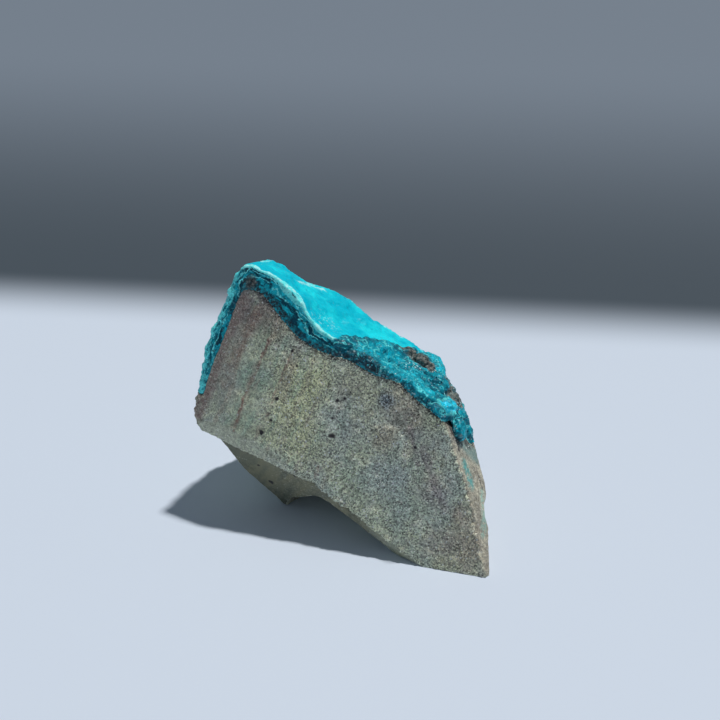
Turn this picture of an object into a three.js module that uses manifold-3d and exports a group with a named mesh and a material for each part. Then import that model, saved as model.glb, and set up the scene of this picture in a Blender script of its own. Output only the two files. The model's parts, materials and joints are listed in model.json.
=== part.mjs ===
// Raw chrysocolla: a broken chunk of fine-grained host rock under a chrysocolla crust.
// Millimetres, +Z up. X runs left to right along the big front fracture, and Y runs back from it.
// The chunk rests on a flat patch of its underside at z = 0.
import * as THREE from 'three';
import { ImprovedNoise } from 'three/addons/math/ImprovedNoise.js';
import { TessellateModifier } from 'three/addons/modifiers/TessellateModifier.js';
import { ConvexGeometry } from 'three/addons/geometries/ConvexGeometry.js';
import { mergeVertices } from 'three/addons/utils/BufferGeometryUtils.js';
import Module from 'manifold-3d';

const wasm = await Module();
wasm.setup();

// ---------------------------------------------------------------- driving dimensions

const BLANK = new THREE.Vector3(76, 66, 60); // raw block that the fractures are struck from
const HEART = new THREE.Vector3(2, 4, 18); // a point deep inside the chunk
const GAP = 0.3; // clearance between crust and rock

const FACET = 4.5; // longest edge of a facet on a fracture
const CALM_RELIEF = 0.2; // unevenness of the smooth front fracture
const RAGGED_RELIEF = 1.5; // unevenness of the hackly back and sides
const RELIEF_SPAN = 7; // distance between the swells of a fracture

const RUN = new THREE.Vector3(0.33, 1, -0.28); // the way the crust runs back, per millimetre of Y
const RUN_LEAD = -8; // the crust's blank starts this far in front of the front fracture
const RUN_END = 30; // and ends this far behind it
const DEEP_RUN = 16; // how far back the skin has its deep outline
const END_MARGIN = 0.005; // share of its outline that the crust falls short of at each end
const SKIN_COLUMNS = 54; // facets along the outline of the crust
const SKIN_ROWS = 22; // facets along its run
const BUMP = 0.5; // height of the lumps on the skin
const BUMP_SPAN = 3.4; // distance between those lumps
const BROKEN_FROM = 0.62; // where along its outline the crust starts to be broken
const BROKEN_TO = 0.85; // where it is broken over its whole run
const BROKEN_RUN = 24; // length of that run
const BROKEN_DEPTH = 0.5; // share of the crust's thickness that has come off there
const BROKEN_RELIEF = 0.7; // unevenness of the broken part
const CRUST_LEAST = 0.7; // thickness that stays even where the crust has broken off
const LUMP_LIFT = -0.6; // height of the middle of a lump over the rock
const LUMP_RELIEF = 0.9; // unevenness of a lump

// Corners of the chunk, where fractures meet.
const TOE = [27, -23, 0];
const FRONT_LEFT_FOOT = [-20.8, -8.2, 0];
const PEAK = [-17, 8, 49];
const MARGIN_LOW = [-22.4, -0.6, 19];
const MARGIN_HIGH = [-16.8, 7.6, 47.2];
const LEFT_CORNER = [-28.1, 3.2, 19.4];
const LEFT_CORNER_BACK = [-23.1, 18.2, 15.2];
const LEFT_SHOULDER = [-27.3, 3.8, 24.7];
const CHAMFER_HIGH = [-19.9, -1.5, 18.5];
const CHAMFER_LOW = [-21.6, -0.2, 15.5];
const CHAMFER_LEFT = [-26.5, 2.6, 16.7];
const CHAMFER_END = [-3.8, -9.3, 10.8];
const LEDGE_FRONT = [-21.4, 0.2, 13.6];
const UNDER_LEFT = [-17.8, 2.2, 7.4];
const UNDER_LEFT_BACK = [-16.2, 22, 7.4];
const LEDGE_BACK = [-24, 18, 14.5];
const REAR_FOOT = [-11, 2.4, 0];
const REAR_FOOT_BACK = [-9, 22, 0];
const UNDER_RIGHT = [-7, -7.6, 11.8];
const BEVEL_FOOT = [11.6, -17.3, 2.2];
const BEVEL_LOW = [2.1, -10.8, 5.1];
const RIGHT_ARRIS_HIGH = [20, -12.4, 24.5];
const RIGHT_ARRIS_MID = [22.9, -15.9, 16.9];
const RIGHT_EDGE_HIGH = [26.3, -7, 16.8];
const RIGHT_EDGE_LOW = [27.9, -12, 12.9];
const TOE_EDGE = [27.3, -23, 0];
const TOE_SIDE = [27.8, -21.5, 0];
const RIGHT_BACK_TOP = [24.8, -3, 20.8];
const RIGHT_BACK_FOOT = [20, 15, 0];
const BACK_RIDGE = [-15, 19, 45.6];
const BACK_RIGHT = [15.1, 15, 29];
const BACK_BELLY = [-2, 24.5, 15];
const BACK_BELLY_LEFT = [-22, 26.5, 15];
const BACK_BELLY_RIGHT = [20, 20, 14];
const BACK_FOOT = [-3, 20.5, 0];
const LEFT_BACK_TOP = [-19.5, 13, 40];
const LEFT_BACK_LOW = [-23.5, 17, 20];
const LEFT_BACK_DEEP = [-13, 25, 20];

// The hollow under the chunk, between the rear foot and the toe: its mouth, then its back.
const HOLLOW = [
  [-12, 0.5, -1], [-10.4, -2.3, 3.1], [-8.2, -4.4, 4.4], [-4.2, -9.4, 8], [8, -16, 0.5], [11, -17.5, -1],
  [-5.5, 4.5, 5], [2.5, 2.5, 5.8], [6, -6.5, 5.4], [-6.5, 7, -1], [5.5, 6, -1], [11.5, -9, -1],
];

// Lumps on the crust's broken right end: place along its outline, run behind the front, radius.
const LUMPS = [
  [0.885, 0.8, 2.7],
  [0.955, 3.5, 2.5],
  [0.85, 10, 3],
  [0.79, 15, 2.7],
  [0.7, 3, 2.2],
];

// Hollow chips struck off the chunk: centre of the scoop, then its radius.
const CHIPS = [
  [[32.4, -14, 9], 5.6],
  [[6, 38, 34], 19],
  [[-28, 30, 34], 15],
];

// Outline of the crust where the front fracture cuts it, as X and Z from the left end to the right.
const SKIN = [
  [-27.7, 23.6], [-26.6, 30], [-24.8, 35.5], [-21.9, 41.4], [-20, 45.8], [-18.4, 48.2], [-16, 49],
  [-13, 48.2], [-9.5, 46.2], [-7.2, 44.2], [-5.2, 41.3], [-3, 38.9], [0, 37.6], [4.2, 36.6],
  [8.8, 35.4], [13.3, 33.2], [17, 31.2], [19.8, 29], [22, 25.6], [23.6, 21.8],
];
// The same outline deep in the chunk, where the skin has swollen, seen along the run of the crust.
const SKIN_DEEP = [
  [-27.4, 23.6], [-26, 30], [-24.2, 35.5], [-21.6, 41.4], [-20, 45.8], [-18.4, 48.4], [-16, 49.2],
  [-13, 47.8], [-9.5, 45.8], [-6.7, 44.8], [-4, 43.2], [-1.4, 41.4], [1.8, 38.8], [5.4, 36.4],
  [9.4, 34], [13.3, 31.8], [17, 29.6], [19.8, 27.2], [22, 24.4], [23.6, 21.4],
];
// Outline of the rock under the crust.
const CONTACT = [
  [-26.7, 23.8], [-24.6, 30], [-22.6, 34.3], [-20.1, 40.2], [-18.9, 43], [-17.8, 44.5], [-16, 44.9],
  [-14, 44.4], [-12, 42.4], [-9.8, 39.9], [-8, 38.2], [-6, 36.8], [-2, 35.4], [2.2, 34.7],
  [6.8, 32.8], [11.2, 32], [14.4, 29.5], [18, 27.4], [20.4, 24.8], [22.4, 20.8],
];

// ---------------------------------------------------------------- solids

const noise = new ImprovedNoise();

function vectorOf(corner) {
  return new THREE.Vector3(...corner);
}

function toSolid(geometry) {
  const plain = geometry.clone();
  plain.deleteAttribute('normal');
  plain.deleteAttribute('uv');
  const merged = mergeVertices(plain, 1e-4);
  return new wasm.Manifold(new wasm.Mesh({
    numProp: 3,
    vertProperties: new Float32Array(merged.attributes.position.array),
    triVerts: new Uint32Array(merged.index.array),
  }));
}

function toGeometry(solid) {
  const mesh = solid.getMesh();
  const geometry = new THREE.BufferGeometry();
  geometry.setAttribute('position', new THREE.BufferAttribute(mesh.vertProperties, 3));
  geometry.setIndex(new THREE.BufferAttribute(mesh.triVerts, 1));
  return geometry;
}

// The plane through three corners, facing away from the heart of the chunk.
function fracturePlane(a, b, c) {
  const plane = new THREE.Plane().setFromCoplanarPoints(vectorOf(a), vectorOf(b), vectorOf(c));
  return plane.distanceToPoint(HEART) > 0 ? plane.negate() : plane;
}

// Everything that lies outside such a plane.
function outside(a, b, c) {
  const plane = fracturePlane(a, b, c);
  const size = 3 * BLANK.x;
  const box = new THREE.BoxGeometry(size, size, size).translate(0, 0, size / 2);
  const turn = new THREE.Quaternion().setFromUnitVectors(new THREE.Vector3(0, 0, 1), plane.normal);
  box.applyQuaternion(turn);
  const foot = plane.projectPoint(HEART, new THREE.Vector3());
  return toSolid(box.translate(foot.x, foot.y, foot.z));
}

// A noise reading at a point in each direction, between about -1 and 1.
function swell(point, span) {
  const x = point.x / span;
  const y = point.y / span;
  const z = point.z / span;
  return new THREE.Vector3(
    noise.noise(x + 3.1, y, z),
    noise.noise(x, y + 7.7, z),
    noise.noise(x, y, z + 5.3),
  );
}

// ---------------------------------------------------------------- the chunk

const frontPlane = fracturePlane(TOE, FRONT_LEFT_FOOT, PEAK);

function strikeChunk() {
  const block = new THREE.BoxGeometry(BLANK.x, BLANK.y, BLANK.z).translate(0, 0, BLANK.z / 2);
  const fractures = [
    [TOE, FRONT_LEFT_FOOT, PEAK],
    [MARGIN_LOW, MARGIN_HIGH, LEFT_CORNER],
    [LEFT_CORNER, LEFT_CORNER_BACK, LEFT_SHOULDER],
    [LEFT_CORNER, LEFT_CORNER_BACK, CHAMFER_LEFT],
    [BACK_RIDGE, BACK_RIGHT, BACK_BELLY],
    [BACK_BELLY_LEFT, BACK_BELLY_RIGHT, BACK_FOOT],
    [LEFT_BACK_TOP, LEFT_BACK_LOW, LEFT_BACK_DEEP],
    [RIGHT_ARRIS_MID, TOE_EDGE, RIGHT_EDGE_LOW],
    [RIGHT_ARRIS_HIGH, RIGHT_ARRIS_MID, RIGHT_EDGE_HIGH],
    [RIGHT_EDGE_LOW, RIGHT_BACK_TOP, RIGHT_BACK_FOOT],
    [RIGHT_EDGE_LOW, TOE_SIDE, RIGHT_BACK_FOOT],
  ];
  let chunk = toSolid(block);
  for (const fracture of fractures) chunk = chunk.subtract(outside(...fracture));

  const bevel = outside(CHAMFER_END, BEVEL_FOOT, BEVEL_LOW);
  const chamfer = outside(CHAMFER_HIGH, CHAMFER_END, CHAMFER_LOW);
  const underFacet = outside(REAR_FOOT, CHAMFER_LOW, UNDER_RIGHT);
  const ledge = outside(CHAMFER_LEFT, CHAMFER_LOW, LEDGE_BACK);
  const underLeftHigh = outside(LEDGE_FRONT, UNDER_LEFT, UNDER_LEFT_BACK);
  const underLeftLow = outside(UNDER_LEFT, REAR_FOOT, REAR_FOOT_BACK);
  chunk = chunk.subtract(chamfer.intersect(bevel));
  chunk = chunk.subtract(underFacet.intersect(bevel));
  chunk = chunk.subtract(ledge.intersect(underLeftHigh.add(underLeftLow)));
  chunk = chunk.subtract(toSolid(new ConvexGeometry(HOLLOW.map(vectorOf))));
  for (const [centre, radius] of CHIPS) {
    const chip = new THREE.IcosahedronGeometry(radius, 2).translate(...centre);
    chunk = chunk.subtract(toSolid(chip));
  }
  return chunk;
}

// Shifts the corners of a geometry by noise, as far as the relief at each corner says.
function shiftCorners(geometry, reliefAt) {
  const position = geometry.attributes.position;
  const point = new THREE.Vector3();
  for (let i = 0; i < position.count; i += 1) {
    point.fromBufferAttribute(position, i);
    point.addScaledVector(swell(point, RELIEF_SPAN), reliefAt(point));
    position.setXYZ(i, point.x, point.y, point.z);
  }
}

// The unevenness of the chunk: little at the front and at the sole, much at the back.
function chunkRelief(point) {
  const behind = THREE.MathUtils.smoothstep(-frontPlane.distanceToPoint(point), 9, 18);
  const height = THREE.MathUtils.smoothstep(point.z, 0, 3);
  return height * THREE.MathUtils.lerp(CALM_RELIEF, RAGGED_RELIEF, behind);
}

// Cuts a solid's faces into small facets and shifts their corners.
function roughen(solid) {
  const fine = new TessellateModifier(FACET, 12).modify(toGeometry(solid).toNonIndexed());
  shiftCorners(fine, chunkRelief);
  return toSolid(fine);
}

// ---------------------------------------------------------------- the crust

// A curve through outline points that lie in the plane of the front fracture.
function outlineOf(points) {
  const { normal, constant } = frontPlane;
  return new THREE.CatmullRomCurve3(points.map(([x, z]) => {
    const y = -(constant + normal.x * x + normal.z * z) / normal.y;
    return new THREE.Vector3(x, y, z);
  }));
}

const skinOutline = outlineOf(SKIN);
const deepOutline = outlineOf(SKIN_DEEP);
const contactOutline = outlineOf(CONTACT);

// A point on a surface that runs back from an outline, and the way out of the crust there.
function onRun(outline, along, run) {
  const point = outline.getPoint(along).addScaledVector(RUN, run);
  const normal = outline.getTangent(along).cross(RUN).normalize();
  return { point, normal };
}

// The outer surface of the crust, as a height over the rock.
function skin(along, run) {
  const { point } = onRun(skinOutline, along, run);
  const deep = onRun(deepOutline, along, run).point;
  point.lerp(deep, THREE.MathUtils.smoothstep(run, 0, DEEP_RUN));
  const broken = brokenAt(along, run);
  const bump = swell(point, BUMP_SPAN).z + 0.6 * swell(point, BUMP_SPAN / 2).x;
  const block = swell(point, BUMP_SPAN * 0.8).y;
  const ground = onRun(contactOutline, along, run).point;
  const out = point.sub(ground);
  const whole = out.length() * (1 - BROKEN_DEPTH * broken);
  const height = whole + BUMP * bump + BROKEN_RELIEF * block * broken;
  return ground.addScaledVector(out.normalize(), Math.max(height, CRUST_LEAST));
}

// How far the crust is broken down at a place: 0 where the skin is whole, 1 where it has come off.
function brokenAt(along, run) {
  const reach = BROKEN_RUN * THREE.MathUtils.smoothstep(along, BROKEN_FROM, BROKEN_TO);
  const fromSide = THREE.MathUtils.smoothstep(along, BROKEN_FROM, BROKEN_FROM + 0.04);
  return fromSide * (1 - THREE.MathUtils.smoothstep(run, reach - 3, reach + 1));
}

// A surface high above the skin, spread wider than the chunk.
function sky(along, run) {
  const spread = new THREE.Vector3(THREE.MathUtils.lerp(-34, 26, along), 0, 30);
  return onRun(skinOutline, along, run).point.add(spread);
}

function contact(lift) {
  return (along, run) => {
    const { point, normal } = onRun(contactOutline, along, run);
    return point.addScaledVector(normal, lift);
  };
}

// A closed blanket between an upper and a lower surface, short of the outline's ends by a margin.
function blanket(upper, lower, rows, margin) {
  const box = new THREE.BoxGeometry(1, 1, 1, SKIN_COLUMNS, rows, 1);
  const position = box.attributes.position;
  for (let i = 0; i < position.count; i += 1) {
    const along = THREE.MathUtils.lerp(margin, 1 - margin, position.getX(i) + 0.5);
    const run = THREE.MathUtils.lerp(RUN_LEAD, RUN_END, position.getY(i) + 0.5);
    const surface = position.getZ(i) > 0 ? upper : lower;
    const point = surface(along, run);
    position.setXYZ(i, point.x, point.y, point.z);
  }
  return toSolid(box);
}

// A knobbly lump half sunk in the crust.
function lumpAt([along, run, radius]) {
  const centre = contact(LUMP_LIFT)(along, run);
  const lump = new THREE.IcosahedronGeometry(radius, 1).translate(centre.x, centre.y, centre.z);
  shiftCorners(lump, () => LUMP_RELIEF);
  return toSolid(lump);
}

// Everything over the contact of crust and rock, raised or lowered from it.
function overContact(lift, margin) {
  return blanket(sky, contact(lift), 1, margin);
}

const chunk = roughen(strikeChunk());
const hostRock = chunk.subtract(overContact(-GAP / 2, 0));

let crust = chunk.intersect(blanket(skin, contact(0), SKIN_ROWS, 0));
for (const lump of LUMPS) crust = crust.add(lumpAt(lump));
crust = crust.intersect(overContact(GAP / 2, END_MARGIN));

// ---------------------------------------------------------------- the specimen

function makeMesh(name, solid, material) {
  const mesh = new THREE.Mesh(toGeometry(solid), new THREE.MeshStandardMaterial(material));
  mesh.name = name;
  return mesh;
}

const specimen = new THREE.Group();
specimen.add(makeMesh('host_rock', hostRock, { color: 0x7a7f72, roughness: 0.85, metalness: 0 }));
specimen.add(makeMesh('chrysocolla_crust', crust, { color: 0x18a9bd, roughness: 0.5, metalness: 0 }));

// The origin goes under the middle of the specimen, on the ground.
const middle = new THREE.Box3().setFromObject(specimen).getCenter(new THREE.Vector3());
for (const mesh of specimen.children) mesh.geometry.translate(-middle.x, -middle.y, 0);

export default specimen;
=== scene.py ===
import json
import math
import random

import bpy
from mathutils import Matrix, Vector, noise
from mathutils.bvhtree import BVHTree

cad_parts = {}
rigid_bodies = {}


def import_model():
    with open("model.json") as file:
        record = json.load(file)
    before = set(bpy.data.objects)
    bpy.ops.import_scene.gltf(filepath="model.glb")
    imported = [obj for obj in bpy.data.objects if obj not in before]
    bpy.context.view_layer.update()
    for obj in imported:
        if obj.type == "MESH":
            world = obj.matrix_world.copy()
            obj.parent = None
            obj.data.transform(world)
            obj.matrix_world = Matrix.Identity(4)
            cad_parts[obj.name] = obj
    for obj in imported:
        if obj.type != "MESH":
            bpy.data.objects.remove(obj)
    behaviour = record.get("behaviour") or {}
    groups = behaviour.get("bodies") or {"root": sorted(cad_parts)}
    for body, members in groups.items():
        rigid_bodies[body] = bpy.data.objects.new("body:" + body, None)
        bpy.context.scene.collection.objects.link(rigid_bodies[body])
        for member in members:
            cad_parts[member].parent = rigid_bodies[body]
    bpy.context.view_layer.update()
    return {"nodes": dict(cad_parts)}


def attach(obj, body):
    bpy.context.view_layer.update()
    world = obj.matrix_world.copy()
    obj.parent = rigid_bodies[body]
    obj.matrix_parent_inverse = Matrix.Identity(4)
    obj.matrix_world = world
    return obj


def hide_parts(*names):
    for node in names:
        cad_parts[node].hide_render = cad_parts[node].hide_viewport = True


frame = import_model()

# ---------------------------------------------------------------------------------- the host rock
# A chunk of fine sandy rock, grey-olive, broken to shape by a few blows. The big front fracture is
# nearly flat, with rust-brown veins and small dark pores; the back and the underside are hackly.

MM = 0.001
MERGED_WITHIN = 0.001 * MM
ROCK_VOXEL = 0.34 * MM

# The front fracture: a point of its plane, the way into the rock, and which facets count as front.
FRONT_TOE = Vector((27.1, -24.3, 0.0)) * MM
INTO_FRONT = Vector((0.280, 0.905, -0.321)).normalized()
FRONT_FACING = 0.92
FRONT_DEPTH = 5 * MM
# A facet whose normal leans by more than this to the front or to the right looks that way.
ASIDE = 0.3

# The rock's relief fades over these distances: round the arrises, in from the edges of the front,
# away from the crust, behind the front and above the sole.
ARRIS_CORE, ARRIS_REACH = 0.2 * MM, 1.0 * MM
FRONT_FROM, FRONT_WHOLE = 0.4 * MM, 2.2 * MM
BARE_FROM, BARE_WHOLE = 0.5 * MM, 1.5 * MM
RAGGED_FROM, RAGGED_WHOLE = 7 * MM, 15 * MM
SOLE_FADE = 1 * MM


def select_only(piece):
    """Makes a piece the one that the operators work on."""
    bpy.ops.object.select_all(action="DESELECT")
    bpy.context.view_layer.objects.active = piece
    piece.select_set(True)


def fine_copy(node, name, voxel):
    """A merged copy of a node's solid, with a skin fine enough to carve."""
    piece = bpy.data.objects.new(name, frame["nodes"][node].data.copy())
    bpy.context.scene.collection.objects.link(piece)
    select_only(piece)
    bpy.ops.object.mode_set(mode="EDIT")
    bpy.ops.mesh.select_all(action="SELECT")
    bpy.ops.mesh.remove_doubles(threshold=MERGED_WITHIN)
    bpy.ops.object.mode_set(mode="OBJECT")
    remesh = piece.modifiers.new("skin", "REMESH")
    remesh.mode = "VOXEL"
    remesh.voxel_size = voxel
    bpy.ops.object.modifier_apply(modifier="skin")
    bpy.ops.object.shade_smooth()
    return piece


def weigh(piece, name, share_at):
    """A vertex group that holds, at each point, the share that share_at gives for its place."""
    group = piece.vertex_groups.new(name=name)
    for vertex in piece.data.vertices:
        group.add([vertex.index], share_at(vertex), "REPLACE")


def smooth(piece, group, times):
    """Rubs a zone down."""
    rub = piece.modifiers.new("rub", "SMOOTH")
    rub.vertex_group = group
    rub.factor = 0.5
    rub.iterations = times
    select_only(piece)
    bpy.ops.object.modifier_apply(modifier="rub")


def carve(piece, group, size, depth, basis="IMPROVED_PERLIN", middle=0.5, **settings):
    """Raises and lowers a zone by up to depth in all, after a cloudy pattern of that size."""
    pattern = bpy.data.textures.new(f"{piece.name}_{group}", "CLOUDS")
    pattern.noise_basis = basis
    pattern.noise_scale = size
    for setting, value in settings.items():
        setattr(pattern, setting, value)
    relief = piece.modifiers.new("relief", "DISPLACE")
    relief.texture = pattern
    relief.texture_coords = "LOCAL"
    relief.vertex_group = group
    relief.strength = depth
    relief.mid_level = middle
    select_only(piece)
    bpy.ops.object.modifier_apply(modifier="relief")


def ease(value, low, high):
    """0 up to low, 1 from high, and a smooth rise between them."""
    share = min(1.0, max(0.0, (value - low) / (high - low)))
    return share * share * (3 - 2 * share)


def behind_front(place):
    """How deep in the rock a place lies, measured from the front fracture."""
    return (place - FRONT_TOE).dot(INTO_FRONT)


def record(piece, name, value_at):
    """Keeps a number for each vertex, for the finish to read."""
    attribute = piece.data.attributes.new(name, "FLOAT", "POINT")
    attribute.data.foreach_set("value", [value_at(vertex) for vertex in piece.data.vertices])


def tree_of(mesh, faces):
    """A search tree of some of a mesh's faces. It finds the nearest place on them."""
    return BVHTree.FromPolygons([v.co for v in mesh.vertices], [list(f.vertices) for f in faces])


rock_solid = frame["nodes"]["host_rock"].data
crust_solid = frame["nodes"]["chrysocolla_crust"].data
rock_tree = tree_of(rock_solid, rock_solid.polygons)
crust_tree = tree_of(crust_solid, crust_solid.polygons)


def on_front(face):
    """Whether a CAD facet belongs to the big front fracture."""
    return face.normal.dot(INTO_FRONT) < -FRONT_FACING and behind_front(face.center) < FRONT_DEPTH


front_tree = tree_of(rock_solid, [face for face in rock_solid.polygons if on_front(face)])
other_tree = tree_of(rock_solid, [face for face in rock_solid.polygons if not on_front(face)])


def arris_at(vertex):
    """1 on the edges of the front fracture, 0 away from them."""
    away = max(front_tree.find_nearest(vertex.co)[3], other_tree.find_nearest(vertex.co)[3])
    return 1 - ease(away, ARRIS_CORE, ARRIS_REACH)


def bare_at(vertex):
    """0 where the crust sits on the rock and on the sole, 1 on bare rock."""
    clear = ease(crust_tree.find_nearest(vertex.co)[3], BARE_FROM, BARE_WHOLE)
    return clear * ease(vertex.co.z, 0, SOLE_FADE)


def front_at(vertex):
    """1 well inside the front fracture, 0 on its edges and on every other facet."""
    return ease(other_tree.find_nearest(vertex.co)[3], FRONT_FROM, FRONT_WHOLE)


def ragged_at(vertex):
    """1 on the fractures at the back, 0 in front and on the sole."""
    back = ease(behind_front(vertex.co), RAGGED_FROM, RAGGED_WHOLE)
    return back * ease(vertex.co.z, 0, 2 * SOLE_FADE)


def facet_at(vertex):
    """The way the CAD facet under a point looks."""
    return rock_solid.polygons[rock_tree.find_nearest(vertex.co)[2]].normal


def down_at(vertex):
    """How far the facet under a point looks down, for the facets below the front fracture."""
    normal = facet_at(vertex)
    return -normal.z if normal.y < -ASIDE and normal.x < ASIDE else -1.0


rock = fine_copy("host_rock", "host_rock_fine", ROCK_VOXEL)
weigh(rock, "front", front_at)
weigh(rock, "bare", bare_at)
weigh(rock, "arris", lambda v: arris_at(v) * bare_at(v))
weigh(rock, "ragged", ragged_at)
record(rock, "contact", lambda v: crust_tree.find_nearest(v.co)[3] / MM)
record(rock, "down", down_at)
record(rock, "right", lambda v: facet_at(v).x)
smooth(rock, "front", 60)
smooth(rock, "bare", 2)
carve(rock, "front", 6.0 * MM, 1.0 * MM)
carve(rock, "front", 2.2 * MM, 0.45 * MM)
carve(rock, "arris", 0.9 * MM, 0.55 * MM, middle=1.0, contrast=3.0, intensity=1.4)
carve(rock, "arris", 3.0 * MM, 0.3 * MM, middle=1.0, contrast=4.0, intensity=1.6)
carve(rock, "ragged", 3.2 * MM, 1.1 * MM, basis="VORONOI_F2_F1")
carve(rock, "ragged", 1.1 * MM, 0.5 * MM)
carve(rock, "bare", 0.8 * MM, 0.22 * MM)


class Signal:
    """A value inside a finish. Sums on signals add Math nodes to it."""

    def __init__(self, finish, socket):
        self.finish = finish
        self.socket = socket

    def _math(self, operation, first, second):
        return self.finish.node("ShaderNodeMath", {"operation": operation}, [first, second])

    def __add__(self, other):
        return self._math("ADD", self, other)

    def __sub__(self, other):
        return self._math("SUBTRACT", self, other)

    def __rsub__(self, other):
        return self._math("SUBTRACT", other, self)

    def __mul__(self, other):
        return self._math("MULTIPLY", self, other)

    def __abs__(self):
        return self._math("ABSOLUTE", self, 0.0)

    __radd__ = __add__
    __rmul__ = __mul__


class Finish:
    """A material made of nodes, read in millimetres on the object's own coordinates."""

    def __init__(self, name):
        self.material = bpy.data.materials.new(name)
        self.material.use_nodes = True
        self.tree = self.material.node_tree
        self.shader = self.tree.nodes["Principled BSDF"]
        place = self.node("ShaderNodeTexCoord", {}, {}, "Object")
        self.place = self.vector("SCALE", {0: place, "Scale": 1 / MM})

    def node(self, kind, settings, inputs, output=0):
        """Adds a node: first its settings, then the values or links of its sockets."""
        node = self.tree.nodes.new(kind)
        for setting, value in settings.items():
            setattr(node, setting, value)
        items = inputs.items() if isinstance(inputs, dict) else enumerate(inputs)
        for key, value in items:
            if isinstance(value, Signal):
                self.tree.links.new(value.socket, node.inputs[key])
            else:
                node.inputs[key].default_value = value
        return Signal(self, node.outputs[output])

    def vector(self, operation, inputs, output=0):
        return self.node("ShaderNodeVectorMath", {"operation": operation}, inputs, output)

    def set(self, key, value):
        """Sets or links an input of the shader."""
        if isinstance(value, Signal):
            self.tree.links.new(value.socket, self.shader.inputs[key])
        else:
            self.shader.inputs[key].default_value = value

    def reading(self, name):
        """The number that record kept under a name."""
        return self.node("ShaderNodeAttribute", {"attribute_name": name}, {}, "Fac")

    def axis(self, name):
        """The place along the X, Y or Z axis."""
        return self.node("ShaderNodeSeparateXYZ", {}, [self.place], name)

    def clouds(self, place, size, detail=3.0, rough=0.55):
        """Soft blotches of about that size, from 0 to 1."""
        inputs = {"Vector": place, "Scale": 1 / size, "Detail": detail, "Roughness": rough}
        return self.node("ShaderNodeTexNoise", {}, inputs)

    def grains(self, place, size, output="Color", feature="F1"):
        """Cells of about that size, each with its own random colour."""
        inputs = {"Vector": place, "Scale": 1 / size}
        return self.node("ShaderNodeTexVoronoi", {"feature": feature}, inputs, output)

    def part(self, colour, channel):
        return self.node("ShaderNodeSeparateColor", {}, [colour], channel)

    def least(self, first, second):
        return self.node("ShaderNodeMath", {"operation": "MINIMUM"}, [first, second])

    def ramp(self, value, low, high, bottom=0.0, top=1.0):
        """Bottom up to low and top from high, or the other way round where low is the larger."""
        settings = {"interpolation_type": "SMOOTHSTEP"}
        if low < high:
            return self.node("ShaderNodeMapRange", settings, [value, low, high, bottom, top])
        return self.node("ShaderNodeMapRange", settings, [value, high, low, top, bottom])

    def blend(self, share, first, second):
        """From the first colour to the second, each (r, g, b) or a signal."""
        inputs = {0: share}
        for key, colour in ((6, first), (7, second)):
            inputs[key] = colour if isinstance(colour, Signal) else (*colour, 1.0)
        settings = {"data_type": "RGBA", "blend_type": "MIX"}
        return self.node("ShaderNodeMix", settings, inputs, 2)

    def shade(self, colour, amount):
        """A colour made lighter or darker by an amount round 1."""
        return self.vector("SCALE", {0: colour, "Scale": amount})

    def shifted(self, place, amount, size, detail=2.0):
        """The place moved about by clouds, so that a pattern read there wavers."""
        inputs = {"Vector": place, "Scale": 1 / size, "Detail": detail}
        drift = self.node("ShaderNodeTexNoise", {}, inputs, "Color")
        centred = self.vector("SUBTRACT", [drift, (0.5, 0.5, 0.5)])
        moved = self.vector("SCALE", {0: centred, "Scale": 2 * amount})
        return self.vector("ADD", [place, moved])

    def near(self, place, centre, inner, outer):
        """1 within the inner radius of a point, fading to 0 at the outer one."""
        distance = self.vector("DISTANCE", [place, centre], "Value")
        return self.ramp(distance, outer, inner)

    def along(self, place, corners, inner, outer):
        """1 within the inner distance of a line through corners, fading to 0 at the outer one."""
        nearest = None
        for first, last in zip(corners, corners[1:]):
            run = Vector(last) - Vector(first)
            offset = self.vector("SUBTRACT", [place, first])
            share = self.vector("DOT_PRODUCT", [offset, run / run.length_squared], "Value")
            held = self.node("ShaderNodeClamp", {}, [share, 0.0, 1.0])
            foot = self.vector("SCALE", {0: run, "Scale": held})
            distance = self.vector("DISTANCE", [offset, foot], "Value")
            nearest = distance if nearest is None else self.least(nearest, distance)
        return self.ramp(nearest, outer, inner)

    def bump(self, height, depth):
        inputs = {"Height": height, "Distance": depth * MM, "Strength": 1.0}
        return self.node("ShaderNodeBump", {}, inputs)


ROCK_OLIVE = (0.60, 0.63, 0.45)
ROCK_GREY = (0.52, 0.57, 0.49)
ROCK_YELLOW = (0.70, 0.71, 0.42)
ROCK_GREEN = (0.38, 0.50, 0.38)
ROCK_BLUE = (0.45, 0.54, 0.56)
ROCK_BROWN = (0.46, 0.39, 0.30)
SIDE_BROWN = (0.30, 0.27, 0.22)
APEX_GREY = (0.24, 0.235, 0.22)
ROCK_RUSTY = (0.33, 0.25, 0.22)
ROCK_PURPLE = (0.34, 0.28, 0.28)
# Painted shade for the faces that look down under the front.
UNDER_PAINTED_SHADE = (0.135, 0.14, 0.10)
UNDER_PAINTED_SHADE_OLIVE = (0.205, 0.20, 0.128)
# Painted shade for the chamfer that looks slightly down.
BEVEL_PAINTED_SHADE = (0.47, 0.49, 0.38)
RUST = (0.31, 0.19, 0.15)
TAN = (0.52, 0.48, 0.38)
SEEP = (0.12, 0.46, 0.44)
SEEP_PALE = (0.42, 0.70, 0.60)
SEEP_GREY = (0.20, 0.34, 0.33)
SPOT_BLUE = (0.22, 0.33, 0.40)
SALT = (0.84, 0.86, 0.72)
SOOT = (0.05, 0.045, 0.05)
# Near white, for painted glints.
PAINTED_GLINT = (0.95, 0.98, 0.95)

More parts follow.
